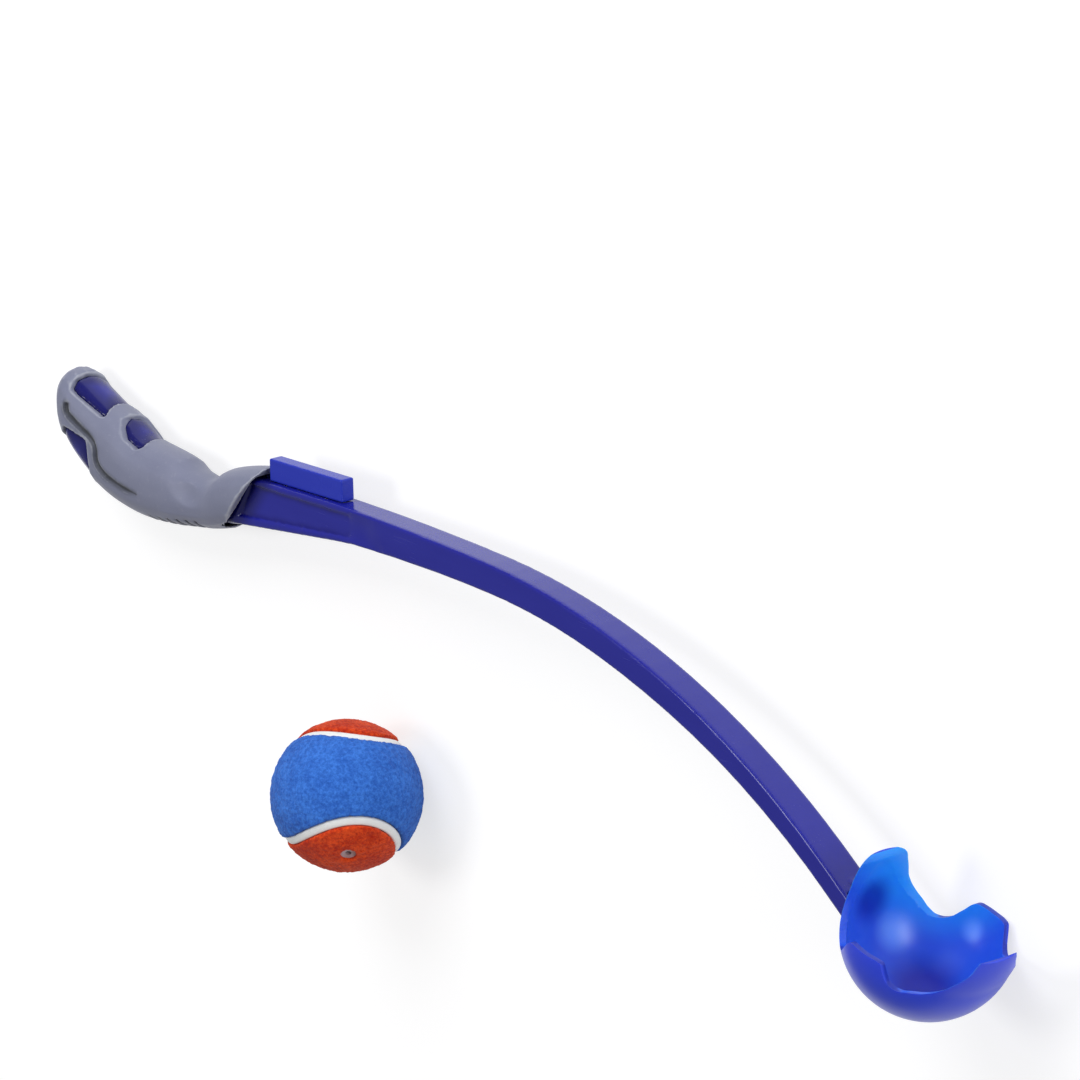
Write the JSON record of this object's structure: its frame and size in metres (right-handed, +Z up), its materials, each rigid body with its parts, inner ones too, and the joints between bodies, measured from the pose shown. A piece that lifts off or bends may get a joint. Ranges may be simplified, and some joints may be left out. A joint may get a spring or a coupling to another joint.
{
  "type": "dog ball thrower",
  "caption": "Hand-held dog ball thrower with a curved arm, a soft windowed grip and a fingered scoop, shown with its felt squeaker ball.",
  "frame": {"origin": "under the middle of the whole set's bounding box, on the floor it lies on", "axes": "+X from the grip's butt towards the scoop, +Y towards the arm's convex side, +Z up from the floor"},
  "size_m": [0.5988, 0.1744, 0.0709],
  "materials": {
    "arm_blue": "moulded, semi-gloss",
    "plate_blue": "moulded, semi-gloss, bare",
    "scoop_blue": "smooth, slightly translucent",
    "grip_grey": "soft-touch, matt",
    "ball_rubber": "plain",
    "felt_orange": "fuzzy felt",
    "felt_blue": "fuzzy felt",
    "seam_rubber": "smooth",
    "squeaker_plastic": "plain"
  },
  "bodies": {
    "thrower": {"arm": "arm_blue", "name_plate": "plate_blue", "scoop": "scoop_blue", "grip": "grip_grey"},
    "ball": {"ball_core_near": "ball_rubber", "ball_core_far": "ball_rubber", "felt_panel_orange": "felt_orange", "felt_panel_blue": "felt_blue", "ball_seam": "seam_rubber", "squeaker_tube": "squeaker_plastic", "squeaker_reed": "squeaker_plastic"}
  },
  "joints": [
    {"name": "ball_lift", "type": "slide", "parent": "thrower", "child": "ball", "axis": [0, 0, 1], "range_m": [0, 0.12]}
  ]
}
